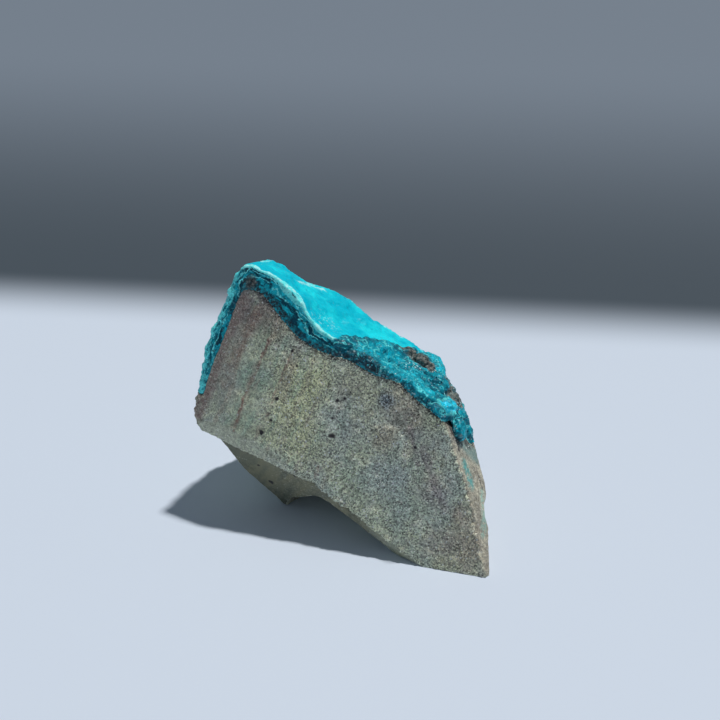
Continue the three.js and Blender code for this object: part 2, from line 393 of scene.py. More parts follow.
# Stains of the rock: centre, inner and outer radius in mm, colour, strength.
STAINS = [
    ((-6.0, -3.0, 29.0), 2, 8, ROCK_YELLOW, 0.85),
    ((-8.0, -5.0, 21.0), 2, 8, ROCK_YELLOW, 0.7),
    ((-15.5, -1.0, 29.0), 1, 5, ROCK_GREEN, 0.85),
    ((-18.5, -2.0, 22.0), 1, 5, ROCK_GREEN, 0.45),
    ((0.5, -8.5, 19.5), 1, 6, ROCK_BLUE, 0.12),
    ((3.0, -12.0, 13.0), 1, 6, ROCK_GREEN, 0.35),
    ((14.0, -15.0, 15.0), 4, 12, ROCK_BLUE, 0.25),
    ((12.0, -16.5, 9.0), 2, 7, ROCK_GREEN, 0.2),
    ((8.5, -11.0, 22.0), 1, 4, ROCK_BROWN, 0.7),
    ((12.0, -9.0, 28.0), 1, 6, ROCK_BROWN, 0.6),
    ((3.0, -6.5, 30.0), 1, 5, ROCK_BROWN, 0.35),
    ((16.0, -13.0, 21.0), 1, 5, ROCK_PURPLE, 0.25),
    ((17.5, -16.5, 13.5), 1, 4, ROCK_PURPLE, 0.5),
    ((24.5, -21.5, 5.0), 1, 8, ROCK_BROWN, 0.8),
    ((19.0, -20.0, 4.5), 1, 5, ROCK_PURPLE, 0.45),
    ((22.5, -19.5, 10.5), 0.5, 3, RUST, 0.45),
    ((-16.0, 2.2, 40.5), 1, 7, RUST, 0.3),
    ((-11.0, 1.2, 39.6), 1, 7, SIDE_BROWN, 0.5),
    ((-16.2, 4.3, 43.4), 3, 8, APEX_GREY, 0.9),
    ((-12.5, 2.0, 39.9), 1, 5, SIDE_BROWN, 0.6),
    ((-21.6, 0.0, 25.0), 1, 4, SIDE_BROWN, 0.35),
    ((13.4, -11.0, 25.5), 1, 5, SIDE_BROWN, 0.75),
]
# Veins: corners in mm, inner and outer half-width, colour, strength.
VEINS = [
    ([(-12.5, 0.8, 36.1), (-14.1, 0.1, 32.9), (-17.4, -1.4, 25.7), (-19.8, -3.2, 18.7)],
     0.05, 0.5, RUST, 1.0),
    ([(-15.0, 0.0, 31.5), (-17.4, -1.4, 25.7)], 0.1, 1.3, ROCK_BROWN, 0.6),
    ([(-17.8, 4.6, 42.3), (-21.6, 3.2, 35.0), (-24.9, 1.5, 26.0), (-27.1, 1.6, 20.4)],
     0.8, 2.6, ROCK_RUSTY, 1.0),
    ([(-15.0, 3.0, 41.0), (-19.4, 1.6, 32.5), (-21.8, 0.2, 27.5)], 0.4, 2.2, RUST, 0.65),
    ([(-8.0, -1.1, 34.9), (-11.3, -2.5, 27.9), (-13.6, -4.0, 21.7)], 0.05, 0.45, RUST, 0.7),
    ([(-6.8, -1.1, 36.0), (-10.1, -3.7, 25.8)], 0.1, 1.0, ROCK_BROWN, 0.5),
    ([(0.0, -6.4, 26.2), (1.2, -6.6, 27.3), (2.3, -6.6, 28.6), (3.8, -6.4, 31.0)],
     0.05, 0.5, SOOT, 0.55),
    ([(-2.2, -8.0, 18.0), (-3.4, -9.2, 15.0), (-4.0, -9.8, 13.0)], 0.1, 0.5, ROCK_BROWN, 0.9),
    ([(-1.0, -8.0, 20.5), (-0.2, -8.6, 18.6), (-1.2, -9.2, 17.4)], 0.1, 0.4, SOOT, 0.7),
    ([(7.2, -12.0, 14.5), (6.0, -13.0, 12.0)], 0.1, 0.5, SOOT, 0.6),
    ([(13.2, -11.5, 24.5), (15.0, -14.0, 18.0)], 0.1, 0.9, ROCK_PURPLE, 0.6),
    ([(15.8, -13.5, 20.5), (18.0, -16.0, 15.0), (20.0, -18.0, 10.5)], 0.2, 1.4, ROCK_PURPLE, 0.6),
    ([(20.4, -12.6, 25.0), (21.3, -12.2, 23.4), (22.6, -13.4, 20.4)], 0.12, 0.42, SOOT, 1.0),
    ([(20.9, -12.4, 24.6), (22.2, -11.6, 22.0)], 0.05, 0.25, SOOT, 1.0),
    ([(25.8, -11.4, 15.4), (26.9, -13.7, 12.6)], 0.1, 0.45, SOOT, 0.9),
]
# Green seeps on the right: corners in mm, inner and outer half-width, colour, and the strength of
# the whole seep and of its flaky part.
SEEPS = [
    ([(23.5, -14.2, 18.2), (24.1, -14.9, 16.6), (24.6, -16.0, 15.0)], 0.3, 1.6, SEEP, 0.0, 0.9),
    ([(22.8, -11.5, 22.5), (24.3, -10.3, 19.2), (25.7, -9.4, 17.2)], 0.8, 2.4, SEEP_GREY, 0.5, 0.3),
    ([(26.9, -14.4, 12.0), (27.1, -16.0, 10.6), (27.3, -17.6, 8.8), (26.9, -19.7, 6.7)],
     0.2, 1.3, SEEP_PALE, 0.0, 0.8),
]
# Pores, small pits drawn as dark dots of painted shade: places on the front and radius in mm.
PORES = [
    ((-8.4, -1.0, 34.9), 0.36), ((-11.3, -3.3, 25.8), 0.44), ((-12.3, -4.4, 21.9), 0.34),
    ((-14.2, -4.6, 19.5), 0.5), ((0.0, -6.4, 27.0), 0.42), ((-0.7, -7.2, 23.9), 0.42),
    ((-0.9, -8.3, 20.7), 0.5), ((14.4, -13.0, 20.9), 0.38), ((-7.4, -2.3, 32.0), 0.26),
    ((-13.0, -3.2, 24.0), 0.24), ((-9.0, -5.8, 18.4), 0.3), ((-6.2, -5.6, 21.2), 0.36),
    ((21.5, -19.0, 11.2), 0.4), ((-9.8, -6.6, 15.4), 0.28), ((1.4, -6.2, 30.2), 0.34),
    ((1.5, -6.6, 27.6), 0.3), ((-13.0, -1.7, 6.7), 0.45), ((-15.3, -3.0, 11.3), 0.3),
    ((-8.0, -8.3, 12.0), 0.3), ((2.6, -6.6, 29.0), 0.26), ((3.6, -6.4, 30.7), 0.3),
]
BLUE_SPOT = (9.1, -8.7, 28.4)
# The rock's fine beds run steeply down the front, and their pattern is drawn out along them.
ACROSS_BEDS = (0.922, 0.0, -0.387)
ALONG_BEDS = (0.050, 0.0, 0.120)
# Sizes of the rock's grains and dust in mm, and the middle of the speckle that they make.
GRAIN = 0.26
DUST = 0.16
SPECKLE_MIDDLE = 0.46


def rock_finish():
    finish = Finish("sandy_host_rock")
    place = finish.place
    wavering = finish.shifted(place, 1.7, 4.0, 4.0)
    ragged = finish.shifted(place, 0.75, 1.4, 4.0)
    across = finish.axis("X")
    down = finish.reading("down")
    under = finish.ramp(down, 0.26, 0.33)
    bevel = finish.ramp(down, 0.03, 0.09) * finish.ramp(down, 0.33, 0.26)
    right = finish.ramp(finish.reading("right"), 0.5, 0.62)
    quiet = finish.ramp(across, -9.0, -17.0)

    # The ground colours: stains, beds and mottle on the front.
    colour = finish.blend(finish.ramp(finish.clouds(place, 9.0), 0.38, 0.64), ROCK_GREY, ROCK_OLIVE)
    for centre, inner, outer, tint, strength in STAINS:
        colour = finish.blend(finish.near(wavering, centre, inner, outer) * strength, colour, tint)
    seam = finish.vector("DOT_PRODUCT", [ragged, ACROSS_BEDS], "Value")
    run = finish.vector("DOT_PRODUCT", [place, ALONG_BEDS], "Value")
    bed = finish.clouds(finish.node("ShaderNodeCombineXYZ", {}, [seam, run, 0.0]), 2.0, 3.0, 0.6)
    beds = finish.ramp(across, 6.0, -12.0, 0.3, 0.9)
    colour = finish.blend(finish.ramp(bed, 0.53, 0.64) * beds * 0.6, colour, ROCK_BROWN)
    colour = finish.blend(finish.ramp(bed, 0.47, 0.36) * beds * 0.6, colour, ROCK_GREEN)
    mottle = finish.clouds(place, 1.6, 4.0, 0.65)
    colour = finish.blend(finish.ramp(mottle, 0.55, 0.68) * 0.25, colour, ROCK_YELLOW)
    colour = finish.blend(finish.ramp(mottle, 0.45, 0.32) * 0.22, colour, ROCK_PURPLE)

    # The streaky right face, the chamfer in painted shade with worn patches, and painted shade on
    # the faces under it.
    streaks = finish.clouds(finish.vector("MULTIPLY", [ragged, (1.0, 1.0, 0.35)]), 1.6, 4.0, 0.6)
    side = finish.blend(finish.ramp(streaks, 0.42, 0.60), SIDE_BROWN, TAN)
    colour = finish.blend(right * 0.85, colour, side)
    worn = finish.ramp(finish.clouds(ragged, 1.5, 3.0), 0.3, 0.55, 0.35, 0.95)
    # Painted shade on the chamfer, broken by worn patches.
    colour = finish.blend(bevel * worn, colour, BEVEL_PAINTED_SHADE)
    # Painted shade on the faces that look down, fading to the right, where the floor lights them more.
    olive = finish.shade(finish.blend(finish.ramp(bed, 0.4, 0.6), UNDER_PAINTED_SHADE, UNDER_PAINTED_SHADE_OLIVE),
                         finish.ramp(mottle, 0.3, 0.45, 0.7, 1.0))
    colour = finish.blend(under * finish.ramp(across, 3.0, 11.0, 0.93, 0.45), colour, olive)

    faded = finish.ramp(finish.clouds(place, 0.7, 3.0, 0.6), 0.3, 0.55, 0.5, 1.0)
    for corners, inner, outer, tint, strength in VEINS:
        vein = finish.along(ragged, corners, inner, outer) * (faded * strength)
        colour = finish.blend(vein, colour, tint)

    # The sandy grain. Its contrast is painted stronger on the lit front, as grazing light on the
    # relief, than on the faces out of the light and towards the left.
    grain = finish.grains(place, GRAIN)
    dust = finish.grains(place, DUST)
    speckle = finish.part(grain, "Red") * 0.6 + finish.part(dust, "Green") * 0.4
    light = finish.ramp(finish.part(grain, "Green"), 0.82, 0.9)
    dark = finish.ramp(finish.part(grain, "Blue"), 0.88, 0.93)
    calm = 1 - under * 0.72 - bevel * 0.15 - quiet * 0.4 - right * 0.5
    colour = finish.blend(light * calm * 0.42, colour, SALT)
    colour = finish.blend(dark * calm * 0.45, colour, ROCK_PURPLE)
    colour = finish.shade(colour, 1.09 + (speckle - SPECKLE_MIDDLE) * calm * 2.3)

    # Seeps, the blue spot, soot where the crust meets the rock, painted glints, and pores as dots of
    # painted shade.
    flaky = finish.ramp(finish.clouds(place, 0.7, 4.0, 0.7), 0.38, 0.54)
    for corners, inner, outer, tint, whole, flakes in SEEPS:
        seep = finish.along(ragged, corners, inner, outer) * (flaky * flakes + whole)
        colour = finish.blend(seep, colour, tint)
    spot = finish.near(ragged, BLUE_SPOT, 0.6, 2.3)
    spotted = finish.blend(finish.ramp(speckle, 0.3, 0.65), SOOT, SPOT_BLUE)
    colour = finish.blend(spot * 0.85, colour, spotted)
    # Painted glints in the spot.
    colour = finish.blend(spot * finish.ramp(speckle, 0.64, 0.7), colour, PAINTED_GLINT)
    sooty = finish.clouds(place, 0.8) * 1.6 + finish.clouds(place, 4.0) * 2.4 - 1.0
    stained = finish.ramp(finish.reading("contact") + sooty, 2.5, 1.4)
    stained = stained * finish.ramp(across, -18.5, -15.5)
    colour = finish.blend(stained * finish.ramp(speckle, 0.75, 0.45, 0.35, 0.9), colour, SOOT)
    # Painted glints: a few grains near white, with a lower roughness.
    glint = finish.ramp(finish.part(grain, "Blue"), 0.983, 0.988) * calm
    colour = finish.blend(glint * 0.9, colour, PAINTED_GLINT)
    # Pores, as dark dots of painted shade in the pits.
    for centre, radius in PORES:
        colour = finish.blend(finish.near(ragged, centre, radius * 0.6, radius * 1.5), colour, SOOT)

    finish.set("Base Color", colour)
    finish.set("Roughness", finish.ramp(glint, 0.0, 1.0, 0.85, 0.3))
    finish.set("Specular IOR Level", 0.3)
    relief = speckle * calm + finish.clouds(place, 0.9) * 1.5
    finish.set("Normal", finish.bump(relief, 0.2))
    return finish.material


rock.data.materials.clear()
rock.data.materials.append(rock_finish())
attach(rock, "root")
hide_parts("host_rock")

# ---------------------------------------------------------------------------- the chrysocolla crust
# A banded mineral crust grown over the rock. Its skin is bright turquoise; where the chunk broke, the
# layers show: a pale rim, dark teal bands with thin light lines, and a black porous foot on the rock.

CRUST_VOXEL = 0.24 * MM
OUTWARD = 0.5

crust = fine_copy("chrysocolla_crust", "chrysocolla_crust_fine", CRUST_VOXEL)

# The lump at the crust's right end is taller than wide: its middle, its reach in mm, and how far
# it is stretched each way.
END_LUMP = Vector((22.7, -11.4, 24.7)) * MM
END_REACH = 3.4
END_STRETCH = (0.80, 0.80, 1.22)

for vertex in crust.data.vertices:
    offset = vertex.co - END_LUMP
    hold = 1 - ease(offset.length, 0.7 * END_REACH * MM, END_REACH * MM)
    vertex.co += hold * (Vector(a * b for a, b in zip(offset, END_STRETCH)) - offset)


def facing_out(face):
    """How far a face of the crust looks away from the rock under it: 1 straight out, 0 sideways."""
    foot = rock_tree.find_nearest(face.center)[0]
    return (face.center - foot).normalized().dot(face.normal)


crust_faces = crust_solid.polygons
outness = [facing_out(face) for face in crust_faces]
skin_faces = [face for face, out in zip(crust_faces, outness) if out > OUTWARD]
cut_faces = [face for face, out in zip(crust_faces, outness) if -OUTWARD < out <= OUTWARD]
skin_tree = tree_of(crust_solid, skin_faces)
cut_tree = tree_of(crust_solid, cut_faces)


def depth_at(vertex):
    """How far a point lies below the skin."""
    return skin_tree.find_nearest(vertex.co)[3] / MM


def rise_at(vertex):
    """How far a point stands off the rock."""
    return rock_tree.find_nearest(vertex.co)[3] / MM


def cut_at(vertex):
    """1 on the broken edge, 0 on the skin."""
    return 1.0 if outness[crust_tree.find_nearest(vertex.co)[2]] < OUTWARD else 0.0


def rim_at(vertex):
    """The distance from the edge where the skin meets the cut."""
    return max(skin_tree.find_nearest(vertex.co)[3], cut_tree.find_nearest(vertex.co)[3]) / MM


# The broken part is bounded by two straight lines, seen from above: a point of each line in mm, and
# the way from it into the broken part. The boundary wanders about them.
BREAK_SIDE = ((0.0, 1.3), (0.562, -0.827))
BREAK_CORNER = ((-0.5, -2.5), (0.843, -0.538))
BREAK_WANDER = 1.2 * MM
BREAK_WAVES = 2.2 * MM


def past_line(vertex, line):
    """How far a point lies past a line, on the side of the broken part."""
    (x, y), (right, back) = line
    return right * (vertex.co.x - x * MM) + back * (vertex.co.y - y * MM)


def broken_at(vertex):
    """The part of the skin on the right that has been knocked off, so that rough crust shows."""
    wander = BREAK_WANDER * noise.noise(vertex.co / BREAK_WAVES)
    side = past_line(vertex, BREAK_SIDE) + wander
    corner = past_line(vertex, BREAK_CORNER) + 0.5 * wander
    return ease(side, 0.2 * MM, 1.6 * MM) * ease(corner, -0.6 * MM, 0.8 * MM)


def recorded(piece, name):
    """Reads back what record kept."""
    values = [0.0] * len(piece.data.vertices)
    piece.data.attributes[name].data.foreach_get("value", values)
    return values


record(crust, "depth", depth_at)
record(crust, "rise", rise_at)
record(crust, "cut", cut_at)
record(crust, "rim", rim_at)
record(crust, "broken", broken_at)
cuts, breaks, rises = (recorded(crust, name) for name in ("cut", "broken", "rise"))

# Lumps of the broken part that have their own places: centre and radius in mm, height from 0 to 1.
LUMPS = [
    ((20.9, -7.0, 26.9), 2.3, 0.95), ((23.0, -12.6, 25.4), 1.3, 0.5), ((19.0, 10.0, 26.9), 3.6, 0.95),
    ((14.0, 7.4, 30.3), 1.8, 1.0), ((16.0, 5.9, 29.4), 1.5, 0.95), ((18.2, 5.0, 27.9), 1.6, 0.85),
    ((20.4, 4.0, 25.9), 1.7, 0.8), ((21.7, 1.2, 24.9), 1.8, 0.8), ((22.1, -2.2, 25.0), 1.6, 0.7),
    ((17.2, -7.6, 29.2), 2.2, 0.6), ((12.6, -5.2, 31.8), 2.4, 0.5), ((9.2, -3.0, 33.0), 2.2, 0.5),
    ((5.0, -1.6, 35.6), 1.8, 0.6), ((1.8, -2.0, 36.9), 1.6, 0.5), ((1.2, 0.0, 37.1), 1.6, 0.6),
    ((6.1, 3.4, 34.8), 1.9, 0.7), ((9.4, 5.0, 33.2), 1.6, 0.6), ((3.6, 1.4, 35.9), 1.5, 0.5),
]
# Small lumps are scattered between them: how many, and the least and greatest radius and height.
SMALL_LUMPS = 90
SMALL_RADIUS = (0.6, 1.5)
SMALL_HEIGHT = (0.2, 0.6)
LUMP_SEED = 5
# How round a lump is, how far the tallest one rises, and how broken the skin is where small lumps
# grow and where there are none.
LUMP_BULGE = 0.6
LUMP_RISE = 1.1 * MM
WELL_BROKEN = 0.6
HARDLY_BROKEN = 0.05

dice = random.Random(LUMP_SEED)
rough = [v.co.copy() for v in crust.data.vertices if breaks[v.index] > WELL_BROKEN and not cuts[v.index]]
lumps = [(Vector(centre) * MM, radius * MM, height) for centre, radius, height in LUMPS]
for _ in range(SMALL_LUMPS):
    lumps.append((dice.choice(rough), dice.uniform(*SMALL_RADIUS) * MM, dice.uniform(*SMALL_HEIGHT)))


def lump_at(vertex):
    """The height of the lumps of the broken part, from 0 to 1."""
    if breaks[vertex.index] < HARDLY_BROKEN:
        return 0.0
    most = 0.0
    for centre, radius, height in lumps:
        near = (vertex.co - centre).length / radius
        if near < 1:
            most = max(most, height * (1 - near * near) ** LUMP_BULGE)
    return most * breaks[vertex.index]


def clear(vertex, low, high):
    """0 up to a low height above the rock and 1 from a high one, both in mm."""
    return ease(rises[vertex.index], low, high)


record(crust, "lump", lump_at)
swells = recorded(crust, "lump")
weigh(crust, "skin", lambda v: (1 - cuts[v.index]) * clear(v, 0.4, 0.8) * (1 - breaks[v.index]))
weigh(crust, "broken", lambda v: breaks[v.index] * clear(v, 0.3, 0.8))
weigh(crust, "cut", lambda v: cuts[v.index] * clear(v, 0.2, 0.6))
weigh(crust, "lumps", lambda v: swells[v.index] * clear(v, 0.3, 0.9))
weigh(crust, "left", lambda v: ease(-v.co.x, 16 * MM, 19 * MM) * clear(v, 0.8, 1.6))
smooth(crust, "skin", 14)
smooth(crust, "broken", 6)

# Hollows of the skin: middle, reach and depth in mm.
HOLLOWS = [
    ((-7.8, 15.0, 44.1), 6.0, 0.9),
    ((-3.2, 14.3, 41.6), 5.5, 0.6),
    ((-14.0, 17.0, 47.6), 4.0, 0.5),
]

for middle, reach, deep in HOLLOWS:
    for vertex in crust.data.vertices:
        away = (vertex.co - Vector(middle) * MM).length / MM
        vertex.co.z -= min(deep * (1 - ease(away, 0.2 * reach, reach)), 0.5 * rises[vertex.index]) * MM
swell = crust.modifiers.new("swell", "DISPLACE")
swell.vertex_group = "lumps"
swell.strength = LUMP_RISE
swell.mid_level = 0.0
select_only(crust)
bpy.ops.object.modifier_apply(modifier="swell")
carve(crust, "skin", 2.4 * MM, 1.1 * MM)
carve(crust, "skin", 0.9 * MM, 0.2 * MM)
carve(crust, "left", 1.7 * MM, 1.3 * MM)
carve(crust, "broken", 1.5 * MM, 0.9 * MM)
carve(crust, "broken", 0.9 * MM, 0.4 * MM, basis="VORONOI_F1")
carve(crust, "cut", 0.8 * MM, 0.35 * MM)

# The crust has grown on the rock, so its foot goes into the rock's own surface: how deep it is
# sunk, and from where to where above the rock the pull lets go.
FOOT_SUNK = 0.2 * MM
FOOT_HELD = 0.3 * MM
FOOT_FREE = 0.8 * MM

for vertex in crust.data.vertices:
    foot, _, _, gap = rock_tree.find_nearest(vertex.co)
    if gap > 0:
        pull = (gap + FOOT_SUNK) * (1 - ease(gap, FOOT_HELD, FOOT_FREE))
        vertex.co += (foot - vertex.co) / gap * pull

# The fine skin leaves a few loose crumbs beside thin edges. They are taken off.
select_only(crust)
bpy.ops.object.mode_set(mode="EDIT")
bpy.ops.mesh.select_mode(type="VERT")
bpy.ops.mesh.select_all(action="DESELECT")
bpy.ops.object.mode_set(mode="OBJECT")
max(crust.data.vertices, key=lambda vertex: vertex.co.z).select = True
bpy.ops.object.mode_set(mode="EDIT")
bpy.ops.mesh.select_linked()
bpy.ops.mesh.select_all(action="INVERT")
bpy.ops.mesh.delete(type="VERT")
bpy.ops.object.mode_set(mode="OBJECT")

TURQUOISE = (0.0, 0.57, 0.74)
TURQUOISE_LIGHT = (0.012, 0.81, 0.92)
TURQUOISE_DEEP = (0.0, 0.36, 0.52)
RIM = (0.16, 0.95, 0.95)
RIM_PALE = (0.46, 1.0, 1.0)
TEAL = (0.012, 0.52, 0.64)
TEAL_DEEP = (0.004, 0.27, 0.37)
TEAL_PALE = (0.10, 0.78, 0.88)
STRIP_PALE = (0.16, 0.97, 1.0)
NAVY = (0.004, 0.068, 0.11)
LINE = (0.22, 0.98, 1.0)
FOOT = (0.03, 0.045, 0.055)
DRUSY = (0.006, 0.46, 0.58)
DRUSY_DEEP = (0.003, 0.14, 0.205)
UMBER = (0.045, 0.05, 0.05)
UMBER_PALE = (0.30, 0.29, 0.25)
SKY = (0.02, 0.70, 0.88)
SKY_BRIGHT = (0.02, 0.74, 1.0)
# Near-white cyan, for painted glints and sparkles.
PAINTED_GLITTER = (0.62, 0.96, 1.0)

# Places on the crust, in mm: the pale knob of the rim and the dark hook in it, the dark nodule
# beside it, the ripples of the skin, its flecks of painted highlight, the spot of painted
# sparkles and the umber crest.
KNOB = (-8.4, 2.7, 45.3)
HOOK = [(-8.9, 2.9, 45.7), (-8.0, 2.4, 44.9), (-7.6, 2.1, 44.2), (-8.1, 2.3, 43.8)]
NODULE = (-16.2, 5.4, 45.8)
RIPPLES = (-2.0, 2.0, 39.5)
HIGHLIGHT_FLECKS = [(-6.9, 9.4, 44.2), (-6.0, 11.3, 43.1), (-5.4, 14.9, 41.4), (-2.8, 13.7, 41.0)]
PAINTED_SPARKLES = (14.2, 1.6, 30.2)
CREST = [
    (13.0, 7.6, 30.9), (15.8, 5.8, 29.8), (18.2, 4.8, 28.2),
    (20.4, 4.0, 26.3), (21.9, 1.0, 25.2), (22.3, -2.5, 25.2),
]
LOW_CREST = CREST[3:]
BRIGHT_BLOCK = [(19.9, -10.2, 28.0), (21.7, -7.0, 26.5)]
# Light lines in the bands: on the broken edge and on the strip at the left, in mm below the skin.
UPPER_LINE = 0.95
LOWER_LINE = 1.85
STRIP_LINES = (0.05, 0.75)

# Patches on the broken part: corners in mm, inner and outer half-width, colour, strength.
PATCHES = [
    ([(1.2, -0.2, 37.0), (3.4, 0.6, 36.2), (6.4, 2.6, 34.9)], 0.6, 2.0, DRUSY_DEEP, 0.8),
    ([(7.2, 0.6, 34.2), (10.9, 2.8, 32.0), (13.0, 1.6, 31.0)], 0.8, 2.8, TURQUOISE, 0.7),
    ([(3.8, -4.0, 36.2), (5.2, -5.2, 34.8), (7.0, -6.0, 33.8)], 0.7, 2.0, FOOT, 0.9),
    ([(0.6, -2.6, 37.6), (2.6, -2.6, 36.8)], 0.5, 1.3, NAVY, 0.9),
    ([(11.5, -7.0, 32.2), (14.5, -8.2, 30.9), (17.5, -9.6, 29.4)], 0.4, 1.8, SKY, 0.6),
    ([(14.0, -3.5, 31.3), (16.5, -5.5, 29.9)], 0.8, 2.4, SKY, 0.5),
    ([(17.6, -3.5, 29.4), (18.6, -8.2, 28.4)], 0.3, 1.5, DRUSY_DEEP, 0.7),
    (BRIGHT_BLOCK, 2.2, 2.9, DRUSY_DEEP, 0.8),
    (BRIGHT_BLOCK, 1.6, 2.0, RIM, 0.85),
    (BRIGHT_BLOCK, 1.1, 1.5, SKY_BRIGHT, 1.0),
    ([(18.8, 10.8, 27.2), (19.8, 9.0, 26.6)], 1.3, 2.8, SKY, 0.95),
    ([(8.2, 3.6, 33.6), (9.5, -0.7, 32.6), (10.2, -3.4, 32.6)], 0.05, 0.35, RIM, 0.55),
    ([(21.2, -9.6, 26.4), (22.6, -9.0, 26.0)], 0.1, 0.6, RIM, 0.6),
    ([(22.9, -12.6, 25.6), (23.6, -12.0, 23.6)], 0.8, 2.4, SKY, 0.55),
    ([(22.2, -13.0, 23.4), (22.6, -13.2, 22.6)], 0.2, 0.9, UMBER_PALE, 0.7),
]


def crust_finish():
    finish = Finish("banded_chrysocolla")
    place = finish.place
    ragged = finish.shifted(place, 0.8, 1.6, 3.0)
    depth = finish.reading("depth")
    rise = finish.reading("rise")
    cut = finish.ramp(finish.reading("cut"), 0.4, 0.6)
    broken = finish.ramp(finish.reading("broken"), 0.25, 0.75)
    lump = finish.reading("lump")
    across = finish.axis("X")
    left = finish.ramp(across, -16.5, -19.5)

    # The bright outer skin, with its ripples and pale flecks of painted highlight.
    cloudy = finish.ramp(finish.clouds(place, 5.0), 0.42, 0.66)
    skin = finish.blend(cloudy, TURQUOISE, TURQUOISE_LIGHT)
    deeper = finish.ramp(finish.clouds(place, 1.1, 4.0), 0.56, 0.74)
    skin = finish.blend(deeper * 0.45, skin, TURQUOISE_DEEP)
    folds = finish.clouds(finish.shifted(place, 0.9, 2.0), 0.5, 2.0)
    ripple = finish.near(ragged, RIPPLES, 1.0, 4.5) * finish.ramp(folds, 0.57, 0.66)
    skin = finish.blend(ripple * 0.6, skin, RIM_PALE)
    spotty = finish.ramp(finish.clouds(place, 1.3), 0.46, 0.56)
    # Flecks of painted highlight along the ridge.
    flecks = finish.along(ragged, HIGHLIGHT_FLECKS, 0.3, 1.2) * spotty
    skin = finish.blend(flecks * 0.9, skin, RIM_PALE)

    # The layers of the broken edge: wavy bands with light lines, milkier on the strip at the left.
    wander = finish.clouds(place, 2.8, 2.0) * 2.4 + finish.clouds(place, 0.9, 3.0, 0.6) * 1.5 - 1.95
    layer = depth + wander
    drawn_out = [layer * 1.1, across * 0.4, finish.axis("Z") * 0.4]
    sheets = finish.node("ShaderNodeCombineXYZ", {}, drawn_out)
    banded = finish.blend(finish.ramp(finish.clouds(sheets, 1.1, 4.0, 0.6), 0.44, 0.56), NAVY, TEAL)
    banded = finish.blend(finish.ramp(layer, 0.5, 0.2) * 0.6, banded, TEAL_PALE)
    breaks_off = finish.clouds(place, 2.2)
    upper_kept = finish.ramp(breaks_off, 0.40, 0.52)
    lower_kept = finish.ramp(breaks_off, 0.60, 0.48)
    for height, whole in ((UPPER_LINE, upper_kept), (LOWER_LINE, lower_kept)):
        banded = finish.blend(finish.ramp(abs(layer - height), 0.18, 0.04) * whole, banded, LINE)
    milky = finish.ramp(finish.clouds(ragged, 1.2, 3.0, 0.6), 0.44, 0.53)
    strip = finish.blend(milky, TEAL_DEEP, STRIP_PALE)
    strip = finish.blend(finish.ramp(layer, 1.0, 1.5), strip, banded)
    for height in STRIP_LINES:
        strip = finish.blend(finish.ramp(abs(layer - height), 0.2, 0.06) * 0.9, strip, RIM)
    banded = finish.blend(left, banded, strip)

    # The pale rim between skin and broken edge, with its knob, and the porous foot on the rock.
    knob = finish.near(ragged, KNOB, 1.2, 4.0)
    from_toe = finish.vector("SUBTRACT", [place, tuple(FRONT_TOE / MM)])
    behind = finish.vector("DOT_PRODUCT", [from_toe, tuple(INTO_FRONT)], "Value")
    kept = finish.ramp(behind, 9.0, 6.0) + finish.ramp(finish.clouds(place, 2.5), 0.56, 0.62) * 0.8
    # The pale band is the crust's pale outer layer. On the skin side it is widened a little as painted
    # highlight, where the lamp catches the edge.
    edge = finish.reading("rim") - knob * 0.85 - finish.clouds(place, 0.9) * 0.95 - (1 - cut) * 0.3
    pale = finish.ramp(edge, 0.08, -0.1) * (1 - left * 0.45) * (1 - broken) * kept
    lace = finish.ramp(finish.clouds(ragged, 0.7, 4.0, 0.7), 0.48, 0.62) * knob
    hook = finish.along(ragged, HOOK, 0.1, 0.35)
    pale = pale * (1 - lace * 0.6) * (1 - hook * 0.9)
    uneven = rise + finish.clouds(ragged, 1.1) * 2.4 + finish.clouds(place, 3.5) * 2.4
    foot = finish.ramp(uneven, 3.7, 2.7)
    gritty = finish.ramp(finish.clouds(place, 0.55, 4.0, 0.7), 0.42, 0.62)
    banded = finish.blend(foot * (1 - left * 0.8), banded, finish.blend(gritty * 0.6, FOOT, TEAL))
    nodule = finish.near(ragged, NODULE, 0.8, 1.9)
    banded = finish.blend(nodule * 0.85, banded, finish.blend(gritty * 0.7, UMBER, UMBER_PALE))
    chalky = finish.ramp(finish.clouds(ragged, 0.8, 3.0), 0.42, 0.56) * (1 - cut * 0.6)
    unbroken = finish.blend(cut, skin, banded)
    colour = finish.blend(pale, unbroken, finish.blend(chalky, RIM, RIM_PALE))

    # The broken part: blocks parted by thin light seams, and an umber crest.
    rubble = finish.clouds(ragged, 2.2, 4.0, 0.6)
    worn = finish.blend(finish.ramp(lump, 0.05, 0.45), DRUSY_DEEP, DRUSY)
    worn = finish.blend(finish.ramp(rubble, 0.53, 0.64) * 0.6, worn, SKY)
    worn = finish.blend(finish.ramp(rubble, 0.46, 0.34) * 0.6, worn, DRUSY_DEEP)
    for corners, inner, outer, tint, strength in PATCHES:
        worn = finish.blend(finish.along(ragged, corners, inner, outer) * strength, worn, tint)
    seams = finish.ramp(abs(lump - 0.16), 0.05, 0.01) * finish.ramp(finish.clouds(place, 1.4), 0.5, 0.6)
    worn = finish.blend(seams * 0.8, worn, RIM)
    web = finish.grains(ragged, 1.8, "Distance", "DISTANCE_TO_EDGE")
    worn = finish.blend(finish.ramp(web, 0.3, 0.1) * 0.5, worn, DRUSY_DEEP)
    threads = finish.ramp(web, 0.09, 0.03) * finish.ramp(finish.clouds(place, 2.0), 0.46, 0.58)
    worn = finish.blend(threads * 0.6, worn, RIM)
    crest = finish.along(ragged, CREST, 0.9, 1.8) + finish.along(ragged, LOW_CREST, 1.3, 2.5)
    crest = finish.least(crest, 0.95)
    worn = finish.blend(crest, worn, finish.blend(gritty, UMBER, UMBER_PALE))
    thin = finish.ramp(rise + finish.clouds(ragged, 1.1) * 1.6, 1.65, 1.2)
    worn = finish.blend(thin * 0.8, worn, NAVY)
    worn = finish.blend(foot * finish.ramp(across, 10.0, 6.0) * 0.9, worn, FOOT)
    colour = finish.blend(broken, colour, worn)
